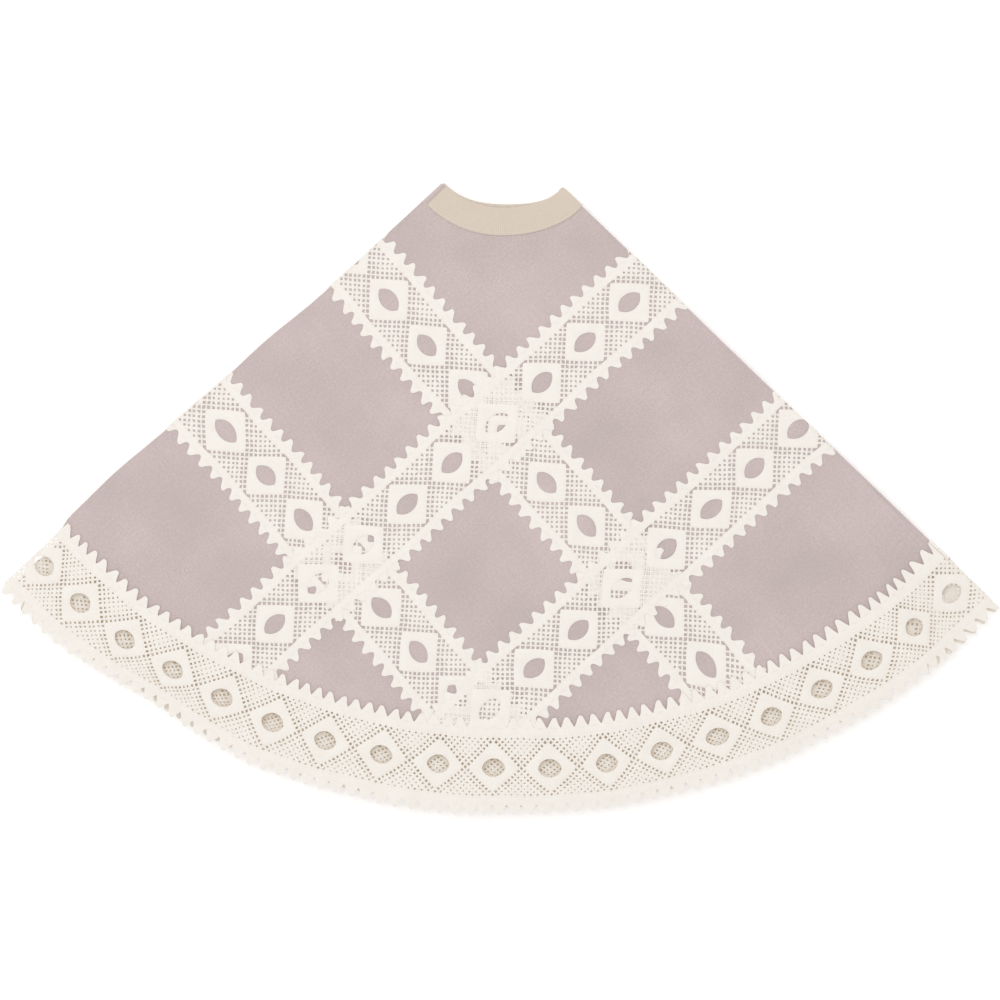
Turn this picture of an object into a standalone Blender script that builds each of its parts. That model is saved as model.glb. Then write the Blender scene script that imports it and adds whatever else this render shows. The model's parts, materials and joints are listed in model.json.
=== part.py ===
"""Round lace-trimmed tree skirt, folded flat into a fan of four quarters.

The skirt is laid out in each quarter's own frame: the origin is on the trunk axis, X runs along the slit
edge and Z points out of the lace side. Lengths are in millimetres and angles in degrees until a mesh is
made.
"""

import math

import bmesh
import bpy
from mathutils import Matrix, Vector

MM = 0.001

# Outline
SKIRT_DIAMETER = 1219.2
NECK_DIAMETER = 135.4
HEM_LACE_WIDTH = 88.0
HEM_LACE_OVERLAP = 11.0  # how far the hem lace reaches in over the face fabric
BINDING_WIDTH = 25.0

# Lace bands. A band's place is the distance of its centre line from the trunk axis.
BAND_WIDTH = 78.0
LOWER_BANDS = {"inner": 174.2, "outer": 360.0}
UPPER_BANDS = {"inner": 190.4, "outer": 373.7}
BAND_RAMP = 6.0  # length of the slope where an upper band climbs over a lower one

# Cloth thicknesses
LINING_THICKNESS = 0.4
SHELL_THICKNESS = 0.8
LACE_THICKNESS = 0.9
BINDING_THICKNESS = 0.7
PAD_THICKNESS = 0.9

# Slit closure
FACING_WIDTH = 25.0
PAD_LENGTH = 25.0
PAD_WIDTH = 20.0
PAD_INSET = 3.0

# Folding. The quarters differ a little because a skirt is never folded exactly in four.
SLIT_DIRECTION = 222.6  # of the slit edge of the top quarter, from the part's +X
QUARTERS = ("top", "second", "third", "bottom")
FIRST_SPANS = (93.5, 93.1, 87.2)  # the bottom quarter takes what is left of the circle

# Clearances
PLY_GAP = 0.3  # between neighbouring plies, and where two pieces butt
FACE_GAP = 0.4  # between the two quarters that lie lace to lace
EDGE_TRIM = 0.15  # degrees, between a quarter and its fold line

ARC_STEPS = 32
NECK_STEPS = 20

# Radii
HEM_RADIUS = SKIRT_DIAMETER / 2
HEM_LACE_INNER = HEM_RADIUS - HEM_LACE_WIDTH
CLOTH_OUTER = HEM_LACE_INNER + HEM_LACE_OVERLAP
NECK_RADIUS = NECK_DIAMETER / 2
CLOTH_INNER = NECK_RADIUS + BINDING_THICKNESS + PLY_GAP
BINDING_OUTER = NECK_RADIUS + BINDING_WIDTH

# Heights of each ply's underside above the wrong side of its quarter
LINING_BASE = max(PAD_THICKNESS, BINDING_THICKNESS) + PLY_GAP
SHELL_BASE = LINING_BASE + LINING_THICKNESS + PLY_GAP
LACE_BASE = SHELL_BASE + SHELL_THICKNESS + PLY_GAP
CROSSING_BASE = LACE_BASE + LACE_THICKNESS + PLY_GAP
QUARTER_HEIGHT = CROSSING_BASE + LACE_THICKNESS

# Linear colour and roughness of each cloth
CLOTHS = {
    "shell": ((0.584, 0.497, 0.479), 0.95),
    "lining": ((0.830, 0.780, 0.700), 0.90),
    "binding": ((0.694, 0.604, 0.509), 0.95),
    "lace": ((0.913, 0.879, 0.831), 0.90),
    "pad": ((0.800, 0.780, 0.740), 0.85),
}


def empty_scene():
    """Remove what the scene holds and return the part's collection and the cutters' collection."""
    for thing in list(bpy.data.objects):
        bpy.data.objects.remove(thing)
    part = bpy.data.collections.new("tree_skirt")
    cutters = bpy.data.collections.new("cutters")
    for collection in (part, cutters):
        bpy.context.scene.collection.children.link(collection)
    return part, cutters


def cloth_material(name, cloth):
    """Make one piece's own Principled material."""
    colour, roughness = CLOTHS[cloth]
    material = bpy.data.materials.new(name)
    material.use_nodes = True
    surface = material.node_tree.nodes["Principled BSDF"]
    surface.inputs["Base Color"].default_value = (*colour, 1.0)
    surface.inputs["Roughness"].default_value = roughness
    surface.inputs["Metallic"].default_value = 0.0
    return material


def loft(name, rings, collection, frame):
    """Join equal rings of points, in millimetres, into one closed body parented to a quarter's frame."""
    bm = bmesh.new()
    loops = [[bm.verts.new(Vector(point) * MM) for point in ring] for ring in rings]
    for first, second in zip(loops, loops[1:]):
        for i in range(len(first)):
            j = (i + 1) % len(first)
            bm.faces.new((first[i], first[j], second[j], second[i]))
    bm.faces.new(reversed(loops[0]))
    bm.faces.new(loops[-1])
    bmesh.ops.recalc_face_normals(bm, faces=bm.faces)
    mesh = bpy.data.meshes.new(name)
    bm.to_mesh(mesh)
    bm.free()
    thing = bpy.data.objects.new(name, mesh)
    thing.parent = frame
    collection.objects.link(thing)
    return thing


class Quarter:
    """One quarter of the skirt, between two fold or slit edges."""

    def __init__(self, name, start, end, base, frame, collections):
        self.name = name
        self.start = start + EDGE_TRIM
        self.end = end - EDGE_TRIM
        self.base = base
        self.frame = frame
        self.part, self.cutters = collections

    def piece(self, name, rings, cloth):
        """Make one piece of this quarter with its material."""
        thing = loft(f"{self.name}_{name}", rings, self.part, self.frame)
        thing.data.materials.append(cloth_material(thing.name, cloth))
        return thing

    def cutter(self, name, rings):
        """Make a hidden body that shapes other pieces."""
        thing = loft(f"{self.name}_{name}_cutter", rings, self.cutters, self.frame)
        thing.display_type = "WIRE"
        thing.hide_render = True
        return thing

    def sweep(self, profile, steps):
        """Turn a closed profile of (radius, height) about the trunk axis from edge to edge."""
        rings = []
        for step in range(steps + 1):
            angle = math.radians(self.start + (self.end - self.start) * step / steps)
            across, along = math.cos(angle), math.sin(angle)
            rings.append([(r * across, r * along, self.base + z) for r, z in profile])
        return rings

    def ply(self, inner, outer, bottom, thickness):
        """Sweep a flat ply between two radii."""
        top = bottom + thickness
        return self.sweep([(inner, bottom), (outer, bottom), (outer, top), (inner, top)], ARC_STEPS)

    def block(self, x, y, z):
        """Rings of a box between pairs of limits, with its height above the wrong side."""
        low, high = (self.base + height for height in z)
        corners = ((y[0], low), (y[1], low), (y[1], high), (y[0], high))
        return [[(side, *corner) for corner in corners] for side in x]


def cut(thing, operation, cutter):
    """Shape a body with a hidden one."""
    modifier = thing.modifiers.new(operation.lower(), "BOOLEAN")
    modifier.operation = operation
    modifier.solver = "EXACT"
    modifier.object = cutter


def quarter_frames(collection):
    """Make the four frames, each on the axis of the fold that joins it to the quarter above.

    Returns (name, start angle, end angle, height of the wrong side in the frame, frame) for each quarter.
    """
    spans = (*FIRST_SPANS, 360.0 - sum(FIRST_SPANS))
    lace_fold = QUARTER_HEIGHT + FACE_GAP / 2  # axis of the fold that turns lace against lace
    bases = (0.0, 0.0, -lace_fold, 0.0)
    heights = (3 * QUARTER_HEIGHT + FACE_GAP, 0.0, lace_fold, -lace_fold)
    frames = []
    parent = None
    start = 0.0
    for name, span, base, height in zip(QUARTERS, spans, bases, heights):
        frame = bpy.data.objects.new(f"{name}_quarter_frame", None)
        collection.objects.link(frame)
        frame.parent = parent
        if parent is None:
            x, y = trunk_axis(start, start + span)
            turn = Matrix.Rotation(math.radians(SLIT_DIRECTION), 4, "Z")
        else:
            x, y = 0.0, 0.0
            fold = math.radians(start)
            turn = Matrix.Rotation(math.pi, 4, Vector((math.cos(fold), math.sin(fold), 0.0)))
        frame.matrix_local = Matrix.Translation(Vector((x, y, height)) * MM) @ turn
        frames.append((name, start, start + span, base, frame))
        parent = frame
        start += span
    return frames


def trunk_axis(start, end):
    """Where the trunk axis lies for the folded skirt's box to be centred on the part's origin."""
    limits = (start + EDGE_TRIM, end - EDGE_TRIM)
    edges = [math.radians(SLIT_DIRECTION + limit) for limit in limits]
    left, right = (HEM_RADIUS * math.cos(edge) for edge in edges)
    top = max(NECK_RADIUS * math.sin(edge) for edge in edges)
    return -(left + right) / 2, (HEM_RADIUS - top) / 2


def add_cloth(quarter):
    """The face fabric and the lining behind it."""
    quarter.piece("shell", quarter.ply(CLOTH_INNER, CLOTH_OUTER, SHELL_BASE, SHELL_THICKNESS), "shell")
    lining = quarter.ply(CLOTH_INNER, CLOTH_OUTER, LINING_BASE, LINING_THICKNESS)
    return quarter.piece("lining", lining, "lining")


def add_neck_binding(quarter):
    """Tape folded over the edge of the trunk opening, with a front leg, a web and a back leg."""
    web = NECK_RADIUS + BINDING_THICKNESS
    back_top = LINING_BASE - PLY_GAP
    back = back_top - BINDING_THICKNESS
    front = LACE_BASE + BINDING_THICKNESS
    profile = [
        (NECK_RADIUS, back),
        (BINDING_OUTER, back),
        (BINDING_OUTER, back_top),
        (web, back_top),
        (web, LACE_BASE),
        (BINDING_OUTER, LACE_BASE),
        (BINDING_OUTER, front),
        (NECK_RADIUS, front),
    ]
    quarter.piece("neck_binding", quarter.sweep(profile, NECK_STEPS), "binding")


def add_hem_lace(quarter):
    """The wide edging, sewn over the edge of the face fabric and free beyond it."""
    quarter.piece("hem_lace", quarter.ply(HEM_LACE_INNER, HEM_RADIUS, LACE_BASE, LACE_THICKNESS), "lace")


def band_side(quarter, along_y, offset):
    """The signed place of a band in this quarter: its sector decides on which side of the axis it lies."""
    middle = math.radians((quarter.start + quarter.end) / 2)
    direction = math.cos(middle) if along_y else math.sin(middle)
    return math.copysign(offset, direction)


def add_lower_band(quarter, place, offset, zone):
    """A flat lace band that runs across the slit direction."""
    middle = band_side(quarter, True, offset)
    limits = (middle - BAND_WIDTH / 2, middle + BAND_WIDTH / 2)
    heights = (LACE_BASE, LACE_BASE + LACE_THICKNESS)
    rings = quarter.block(limits, (-HEM_RADIUS, HEM_RADIUS), heights)
    cut(quarter.piece(f"lower_band_{place}", rings, "lace"), "INTERSECT", zone)


def upper_band_course():
    """(distance along the band, height of its underside), climbing over each lower band."""
    half = BAND_WIDTH / 2 + PLY_GAP
    course = [(-HEM_RADIUS, LACE_BASE)]
    for offset in sorted((*LOWER_BANDS.values(), *(-place for place in LOWER_BANDS.values()))):
        course.append((offset - half - BAND_RAMP, LACE_BASE))
        course.append((offset - half, CROSSING_BASE))
        course.append((offset + half, CROSSING_BASE))
        course.append((offset + half + BAND_RAMP, LACE_BASE))
    course.append((HEM_RADIUS, LACE_BASE))
    return course


def add_upper_band(quarter, place, offset, zone):
    """A lace band that runs along the slit direction and rides over the lower bands."""
    middle = band_side(quarter, False, offset)
    low, high = middle - BAND_WIDTH / 2, middle + BAND_WIDTH / 2
    rings = []
    for x, height in upper_band_course():
        bottom = quarter.base + height
        top = bottom + LACE_THICKNESS
        rings.append([(x, low, bottom), (x, high, bottom), (x, high, top), (x, low, top)])
    cut(quarter.piece(f"upper_band_{place}", rings, "lace"), "INTERSECT", zone)


def add_bands(quarter):
    """The four lace bands, kept inside the hem lace and between the quarter's edges."""
    reach = HEM_LACE_INNER - PLY_GAP
    inner = BINDING_OUTER + PLY_GAP
    zone = quarter.cutter("band_zone", quarter.ply(inner, reach, LACE_BASE - 1.0, QUARTER_HEIGHT))
    for place, offset in LOWER_BANDS.items():
        add_lower_band(quarter, place, offset, zone)
    for place, offset in UPPER_BANDS.items():
        add_upper_band(quarter, place, offset, zone)


def add_slit_facing(quarter, lining, side):
    """A strip that finishes the slit edge, in the lining's plane.

    side is +1 or -1, the cloth's side of the edge.
    """
    rings = quarter.ply(CLOTH_INNER, CLOTH_OUTER, LINING_BASE, LINING_THICKNESS)
    facing = quarter.piece("slit_facing", rings, "shell")
    heights = (LINING_BASE - 1.0, SHELL_BASE)
    for thing, operation, width in (
        (facing, "INTERSECT", FACING_WIDTH),
        (lining, "DIFFERENCE", FACING_WIDTH + PLY_GAP),
    ):
        limits = sorted((-side * FACING_WIDTH, side * width))
        rings = quarter.block((0.0, SKIRT_DIAMETER), limits, heights)
        cut(thing, operation, quarter.cutter(f"{operation.lower()}_facing", rings))


def pad_places():
    """The clear stretches of the slit edge, as (name, middle, length).

    They lie between the binding, the bands and the hem lace, which curves in over the outermost pad.
    """
    half = BAND_WIDTH / 2
    edges = [BINDING_OUTER]
    for offset in sorted(LOWER_BANDS.values()):
        edges += [offset - half, offset + half]
    edges.append(math.sqrt(HEM_LACE_INNER**2 - (PAD_INSET + PAD_WIDTH) ** 2))
    places = []
    for name, low, high in zip(("neck", "middle", "hem"), edges[0::2], edges[1::2]):
        places.append((name, (low + high) / 2, min(PAD_LENGTH, high - low - 2 * PLY_GAP)))
    return places


def add_pads(quarter, kind, side, base):
    """Small fastening pads along the slit edge, with their undersides at the given height."""
    for name, middle, length in pad_places():
        along = (middle - length / 2, middle + length / 2)
        across = sorted((side * PAD_INSET, side * (PAD_INSET + PAD_WIDTH)))
        rings = quarter.block(along, across, (base, base + PAD_THICKNESS))
        quarter.piece(f"{kind}_pad_{name}", rings, "pad")


def build():
    collections = empty_scene()
    for name, start, end, base, frame in quarter_frames(collections[0]):
        quarter = Quarter(name, start, end, base, frame, collections)
        lining = add_cloth(quarter)
        add_neck_binding(quarter)
        add_hem_lace(quarter)
        add_bands(quarter)
        if name == QUARTERS[0]:
            add_slit_facing(quarter, lining, 1)
            add_pads(quarter, "loop", 1, LINING_BASE - PLY_GAP - PAD_THICKNESS)
        if name == QUARTERS[-1]:
            add_slit_facing(quarter, lining, -1)
            add_pads(quarter, "hook", -1, LACE_BASE)


build()
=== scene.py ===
"""The tree skirt's visual model: cotton cloth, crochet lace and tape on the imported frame, in metres."""

import json
import math

import bmesh
import bpy
import numpy as np
from mathutils import Matrix, Vector


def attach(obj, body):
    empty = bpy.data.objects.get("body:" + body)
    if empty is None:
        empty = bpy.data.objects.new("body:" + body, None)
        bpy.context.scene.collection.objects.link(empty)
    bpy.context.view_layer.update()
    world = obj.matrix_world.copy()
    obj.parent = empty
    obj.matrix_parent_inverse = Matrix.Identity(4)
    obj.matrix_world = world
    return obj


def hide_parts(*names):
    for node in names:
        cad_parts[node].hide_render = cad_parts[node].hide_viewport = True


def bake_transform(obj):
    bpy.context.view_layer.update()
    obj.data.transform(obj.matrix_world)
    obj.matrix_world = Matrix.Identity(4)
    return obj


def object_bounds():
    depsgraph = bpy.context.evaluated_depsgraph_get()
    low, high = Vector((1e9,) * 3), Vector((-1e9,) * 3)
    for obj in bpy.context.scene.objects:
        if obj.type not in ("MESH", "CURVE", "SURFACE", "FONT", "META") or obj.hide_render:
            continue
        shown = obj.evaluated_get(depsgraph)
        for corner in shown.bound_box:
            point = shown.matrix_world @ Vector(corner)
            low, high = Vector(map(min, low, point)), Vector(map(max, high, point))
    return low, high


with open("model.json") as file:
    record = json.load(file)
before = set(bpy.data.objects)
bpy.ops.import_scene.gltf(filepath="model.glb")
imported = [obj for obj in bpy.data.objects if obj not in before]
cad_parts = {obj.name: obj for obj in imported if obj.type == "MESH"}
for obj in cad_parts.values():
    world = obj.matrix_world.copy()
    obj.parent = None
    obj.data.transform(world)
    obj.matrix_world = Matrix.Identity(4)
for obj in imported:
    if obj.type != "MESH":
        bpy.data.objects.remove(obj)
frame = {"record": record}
cad_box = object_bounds()
joints = {joint["name"]: joint for joint in frame["record"]["behaviour"]["joints"]}

# Camera, floor and light --------------------------------------------------------------------------
# The skirt lies on a white table and is seen from straight above through a long lens. The light is
# soft and nearly the same from everywhere, with a large softbox high up at the left for the relief.

TRUNK = Vector(joints["top_fold"]["pos_m"])
VIEW_WIDTH = 0.8912
VIEW_MIDDLE = (-0.0004, -0.3288)  # from the trunk opening's centre
CAMERA_HEIGHT = 3.2
TABLE_GLOW = 0.14
SOFTBOX_WATTS = 22.0
ROOM_LIGHT = 0.885

camera_data = bpy.data.cameras.new("camera")
camera_data.sensor_width = 36.0
camera_data.lens = camera_data.sensor_width * CAMERA_HEIGHT / VIEW_WIDTH
camera_data.dof.use_dof = False
camera = bpy.data.objects.new("camera", camera_data)
camera.location = (TRUNK.x + VIEW_MIDDLE[0], TRUNK.y + VIEW_MIDDLE[1], CAMERA_HEIGHT + cad_box[1][2])
bpy.context.scene.collection.objects.link(camera)
bpy.context.scene.camera = camera
bpy.context.scene.view_settings.view_transform = "Standard"


def add_node(tree, kind, inputs=None, **settings):
    """Add a node, set its properties, and set or link its inputs."""
    made = tree.nodes.new(kind)
    for key, value in settings.items():
        setattr(made, key, value)
    for key, value in (inputs or {}).items():
        if isinstance(value, bpy.types.NodeSocket):
            tree.links.new(value, made.inputs[key])
        else:
            made.inputs[key].default_value = value
    return made


def linear(code):
    """An sRGB hex colour as linear RGBA."""
    shares = [int(code[i : i + 2], 16) / 255 for i in (1, 3, 5)]
    return (*(s / 12.92 if s <= 0.04045 else ((s + 0.055) / 1.055) ** 2.4 for s in shares), 1.0)


def new_material(name, roughness, sheen=0.0):
    """A Principled material and its tree."""
    material = bpy.data.materials.new(name)
    material.use_nodes = True
    surface = material.node_tree.nodes["Principled BSDF"]
    surface.inputs["Roughness"].default_value = roughness
    surface.inputs["Specular IOR Level"].default_value = 0.2
    surface.inputs["Sheen Weight"].default_value = sheen
    surface.inputs["Sheen Roughness"].default_value = 0.6
    return material, material.node_tree, surface


def table_material():
    """Smooth white table, lit from inside a little so that it stays white under the soft light."""
    material, tree, surface = new_material("white_table", 0.8)
    places = add_node(tree, "ShaderNodeTexCoord").outputs["Object"]
    grain = add_node(tree, "ShaderNodeTexNoise", {"Vector": places, "Scale": 3.0})
    tone = add_node(tree, "ShaderNodeMix", {"Factor": grain.outputs["Fac"]}, data_type="RGBA")
    tone.inputs["A"].default_value = linear("#FBFAFA")
    tone.inputs["B"].default_value = linear("#FFFFFF")
    tree.links.new(tone.outputs["Result"], surface.inputs["Base Color"])
    surface.inputs["Emission Color"].default_value = (1.0, 1.0, 1.0, 1.0)
    surface.inputs["Emission Strength"].default_value = TABLE_GLOW
    return material


bpy.ops.mesh.primitive_plane_add(size=40.0, location=(0.0, 0.0, -0.0005))
table = bpy.context.object
table.name = "table"
table.data.materials.append(table_material())

key_data = bpy.data.lights.new("softbox", "AREA")
key_data.shape = "RECTANGLE"
key_data.size = 1.6
key_data.size_y = 1.6
key_data.energy = SOFTBOX_WATTS
key = bpy.data.objects.new("softbox", key_data)
key.location = (-0.75, 0.95, 2.6)
key.rotation_euler = (Vector((0.0, 0.0, 0.0)) - key.location).to_track_quat("-Z", "Y").to_euler()
bpy.context.scene.collection.objects.link(key)

world = bpy.data.worlds.new("studio")
world.use_nodes = True
background = world.node_tree.nodes["Background"]
background.inputs["Color"].default_value = (1.0, 1.0, 1.0, 1.0)
background.inputs["Strength"].default_value = ROOM_LIGHT
bpy.context.scene.world = world

# How the quarters lie -----------------------------------------------------------------------------
# The skirt is one circle of cloth with a slit, folded like a fan into four quarters. Each quarter is
# drawn opened out: x along the slit edge of the circle, y a quarter turn on, and z out of the lace side
# from the wrong side. "lay" folds it into place.

SLIT_DIRECTION = math.radians(222.6)
EDGES = {"top": (0.0, 93.5), "second": (93.5, 186.6), "third": (186.6, 273.8), "bottom": (273.8, 360.0)}
FOLDS = (("top", "second"), ("second", "third"), ("third", "bottom"))
FACE_AXIS = joints["top_fold"]["pos_m"][2] - joints["middle_fold"]["pos_m"][2]
HEM_RADIUS = TRUNK.y - cad_box[0][1]


def half_turn(angle, height=0.0):
    """A half turn about a fold line at this angle and height."""
    turn = Matrix.Rotation(math.pi, 4, Vector((math.cos(angle), math.sin(angle), 0.0)))
    return Matrix.Translation((0, 0, height)) @ turn @ Matrix.Translation((0, 0, -height))


lay = {"top": Matrix.Translation(TRUNK) @ Matrix.Rotation(SLIT_DIRECTION, 4, "Z")}
lay["second"] = lay["top"] @ half_turn(math.radians(EDGES["top"][1]))
lay["third"] = lay["second"] @ half_turn(math.radians(EDGES["second"][1]), FACE_AXIS)
lay["bottom"] = lay["third"] @ half_turn(math.radians(EDGES["third"][1]))


def smooth(t):
    """Smoothstep of an array."""
    t = np.clip(t, 0.0, 1.0)
    return t * t * (3 - 2 * t)


SLIT_BULGE = 0.0082  # how far the slit edge bows out between the neck and the hem
HEM_DRIFT = 0.013  # how much further out the hem lies along the y axis than along the slit
HEM_TAKE_IN = 0.0025  # how far the whole hem lies in from the pattern
HEM_DENT = 0.0085  # how far the hem is drawn in near the slit
HEM_SNUG = 0.0035  # how far its rim is drawn in along the rest
NECK_SLACK = 0.0065  # how much further out the neck lies at the folds on the right
HEM_DRAW = 0.0075  # how much further in the hem lies on the hidden quarters
WANDER = 0.0007
WAVE_HEIGHT = 0.00028
RIM_FLUTTER = 0.0005
RIM_DROP = 0.0007


def bow(x, y):
    """How far the slit edge bows out, fading away from the slit."""
    out = smooth((x - 0.10) / 0.42) * (1 - 0.66 * smooth((x - 0.516) / 0.024))
    return SLIT_BULGE * out * (1 - smooth(np.abs(y) / 0.06))


def hem_drift(x, y, radius):
    """How far out the hem lies, which is a little oval and is drawn in near the slit."""
    share = np.abs(y) / radius
    oval = HEM_DRIFT * share**3 - HEM_TAKE_IN
    dent = HEM_DENT * np.exp(-(((share - 0.26) / 0.13) ** 2))
    snug = HEM_SNUG * smooth((share - 0.6) / 0.25)
    return smooth((radius - 0.49) / 0.05) * oval - smooth((radius - 0.565) / 0.04) * (dent + snug)


def relax(points):
    """Shift points of the opened circle as limp cotton lies: off round, with soft waves."""
    x, y, z = points.T
    radius = np.maximum(np.hypot(x, y), 1e-6)
    angle = np.arctan2(y, x) % (2 * math.pi)
    angle = np.where((angle > 6.1) & (y > -0.02) & (x > 0), angle - 2 * math.pi, angle)
    drawn = HEM_DRAW * smooth((angle - 1.7) / 0.35) * smooth((radius - 0.54) / 0.05)
    slack = np.zeros(len(points))
    for quarter in ("top", "third"):
        slack += np.exp(-(((angle - math.radians(EDGES[quarter][1])) / 0.45) ** 2))
    slack = NECK_SLACK * slack * (1 - smooth((radius - 0.08) / 0.09))
    stretch = 1 + (hem_drift(x, y, radius) - drawn + slack) / radius
    x, y = x * stretch, y * stretch - bow(x, y)
    out = smooth((radius - 0.09) / 0.12)
    wander = WANDER * out
    dx = wander * (np.sin(41 * y + 17 * x + 1.0) + 0.6 * np.sin(83 * y - 52 * x + 2.0))
    dy = wander * (np.sin(37 * x - 23 * y + 0.5) + 0.6 * np.sin(71 * x + 64 * y + 4.0))
    waves = np.sin(5 * angle + 9 * radius) + 0.6 * np.sin(13 * angle - 21 * radius + 2.0)
    rim = smooth((radius - 0.535) / 0.06)
    flutter = np.sin(31 * angle + 1.0) + 0.7 * np.sin(53 * angle + 3.0)
    dz = out * WAVE_HEIGHT * waves + rim * (RIM_FLUTTER * flutter - RIM_DROP)
    return np.stack([x + dx, y + dy, z + dz], axis=1)


def roll(points, angle, axis_height, radius, squeeze=1.0):
    """Roll what lies past a fold line round an axis at a height, flattened sideways by squeeze."""
    along = np.array([math.cos(angle), math.sin(angle)])
    across = np.array([-math.sin(angle), math.cos(angle)])
    s, d = points[:, :2] @ along, points[:, :2] @ across
    turn = np.maximum(d, 0.0) / radius
    arm = points[:, 2] - axis_height
    side = squeeze * np.abs(arm) * np.sin(turn) + np.minimum(d, 0.0)
    flat = s[:, None] * along + side[:, None] * across
    return np.column_stack([flat, axis_height + arm * np.cos(turn)])


def to_mesh(name, points, faces):
    """A mesh with its flat places kept in a UV map, in metres, for the weave to follow."""
    mesh = bpy.data.meshes.new(name)
    mesh.from_pydata([tuple(p) for p in points], [], [tuple(f) for f in faces])
    keep_cloth_places(mesh)
    return mesh


def keep_cloth_places(mesh):
    """Write each corner's x and y as they are now to the UV map."""
    uv = mesh.uv_layers.get("cloth") or mesh.uv_layers.new(name="cloth")
    points = np.empty(len(mesh.vertices) * 3)
    mesh.vertices.foreach_get("co", points)
    corners = np.empty(len(mesh.loops), dtype=np.int32)
    mesh.loops.foreach_get("vertex_index", corners)
    uv.data.foreach_set("uv", points.reshape(-1, 3)[corners, :2].ravel())


def reshape(mesh, change):
    """Move a mesh's points by a function of an n by 3 array."""
    points = np.empty(len(mesh.vertices) * 3)
    mesh.vertices.foreach_get("co", points)
    mesh.vertices.foreach_set("co", change(points.reshape(-1, 3)).ravel())
    mesh.update()


def face_outward(mesh):
    """Turn a closed mesh's faces outward."""
    bm = bmesh.new()
    bm.from_mesh(mesh)
    bmesh.ops.recalc_face_normals(bm, faces=bm.faces)
    bm.to_mesh(mesh)
    bm.free()


def trim(mesh, start, end, past_start=0.0, past_end=0.0, reach=None):
    """Cut a flat mesh at two edges of its quarter, given in degrees, and drop faces beyond a radius."""
    bm = bmesh.new()
    bm.from_mesh(mesh)
    for degrees, sign, past in ((start, 1, past_start), (end, -1, past_end)):
        angle = math.radians(degrees)
        outward = Vector((sign * math.sin(angle), -sign * math.cos(angle), 0.0))
        everything = bm.verts[:] + bm.edges[:] + bm.faces[:]
        bmesh.ops.bisect_plane(
            bm, geom=everything, plane_co=outward * past, plane_no=outward, clear_outer=True, dist=1e-6
        )
    if reach:
        far = [face for face in bm.faces if face.calc_center_median().xy.length > reach]
        bmesh.ops.delete(bm, geom=far, context="FACES")
    bm.to_mesh(mesh)
    bm.free()
    return mesh


def place(name, mesh, quarter, material):
    """Fold a finished mesh into its quarter's place and make it a piece."""
    turn = np.array(lay[quarter])
    reshape(mesh, lambda points: points @ turn[:3, :3].T + turn[:3, 3])
    mesh.materials.clear()
    mesh.materials.append(material)
    mesh.shade_smooth()
    mesh.set_sharp_from_angle(angle=math.radians(50))
    piece = bpy.data.objects.new(name, mesh)
    bpy.context.scene.collection.objects.link(piece)
    return piece


def hinge_blend(piece):
    """Bake a fold strip's placement into its mesh."""
    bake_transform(piece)


# Lace ---------------------------------------------------------------------------------------------
# Ivory cotton crochet lace: a square net set at 45 degrees, a solid cloth-stitch diamond round an
# eyelet in each repeat, a narrow header down both edges and a row of pointed picots outside it. The
# bands are straight and the hem lace is worked in the round.

NET_STEPS = 9  # net meshes along a diamond's repeat
NET_MARGIN = 0.0014  # of the net past its last row of knots
NET_LAP = 0.0012  # how far the net's outer threads reach under the header
HEADER_LAP = 0.0004  # how far the header reaches under the picots
THREAD = 0.0020
HEM_THREAD = 0.0025
THREAD_SHARES = {"where diamonds meet": 0.62, "beside a diamond": 0.84, "elsewhere": 1.1}
RELIEF = 0.0004
KNOT_SLIP = 0.0007
LACE_HEIGHT = 0.0030
DIAMOND = 4.12  # half the diamond's side, in net meshes
DIAMOND_KNOTS = 4.5  # knots nearer than this to a diamond's middle are worked solid
DIAMOND_BOW = 1.04  # 1 gives the diamond straight sides
PICOTS_PER_REPEAT = 4
PICOT_LEAN = 0.0032
PICOT_OUTLINE = (  # share of the length, and half the width as a share of the space between picots
    (0.0, 0.50),
    (0.07, 0.43),
    (0.2, 0.35),
    (0.4, 0.28),
    (0.6, 0.225),
    (0.78, 0.175),
    (0.91, 0.125),
    (0.98, 0.07),
)


class Patch:
    """Points and faces that grow piece by piece."""

    def __init__(self):
        self.points = []
        self.faces = []

    def add(self, points, faces):
        first = len(self.points)
        self.points += points
        self.faces += [[first + i for i in face] for face in faces]


def in_a_diamond(i, j):
    """Whether a knot of the net lies inside a diamond, and the diamond's place along the band."""
    for k in (-1, 0, 1):
        if max(abs(i - NET_STEPS * k), abs(j - NET_STEPS * k)) < DIAMOND_KNOTS:
            return k
    return None


def chance(i, j, seed):
    """A number from 0 to 1 that looks random and is the same at one knot of every repeat."""
    turn = (i + j) % (2 * NET_STEPS)
    return math.sin(12.9898 * turn + 78.233 * (i - j) + seed) * 43758.5453 % 1


def thread_at(i, j, thread):
    """How thick the thread is at a knot: uneven, finer beside a diamond and finest where two meet."""
    away = min(max(abs(i - NET_STEPS * k), abs(j - NET_STEPS * k)) for k in range(-3, 4))
    where = "elsewhere"
    if away == math.ceil(DIAMOND_KNOTS):
        between = abs(i - j) == 1 and (i + j) % (2 * NET_STEPS) == NET_STEPS
        where = "where diamonds meet" if between else "beside a diamond"
    return thread * THREAD_SHARES[where] * (0.78 + 0.44 * chance(i, j, 0.0))


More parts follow.
